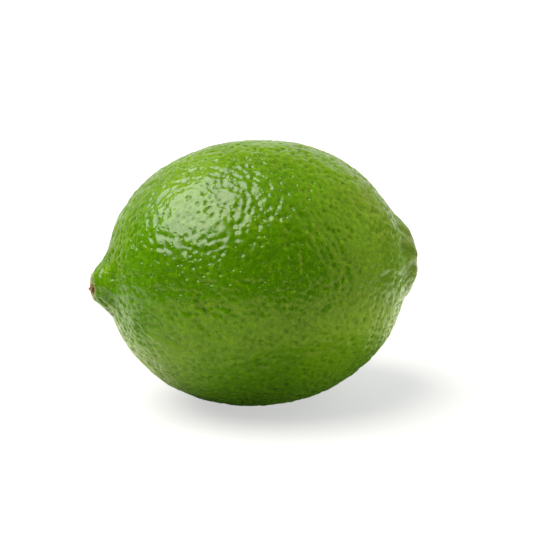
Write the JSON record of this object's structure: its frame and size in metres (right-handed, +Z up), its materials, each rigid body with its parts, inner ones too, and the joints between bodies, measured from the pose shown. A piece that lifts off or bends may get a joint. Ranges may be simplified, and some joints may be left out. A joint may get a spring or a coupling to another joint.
{
  "type": "lime",
  "caption": "Whole unpeeled lime lying on its side, with a narrow nipple at its blossom end and a broad low neck at its stem end.",
  "frame": {"origin": "on the surface that the fruit rests on, under the middle of its bounding box", "axes": "+X along the fruit's long axis towards its stem end, +Z up, front at -Y"},
  "size_m": [0.0672, 0.054, 0.0537],
  "materials": {
    "rind": "waxy glossy citrus rind, yellow-green, with small darker oil pores"
  },
  "bodies": {
    "root": {"lime": "rind"}
  },
  "joints": []
}
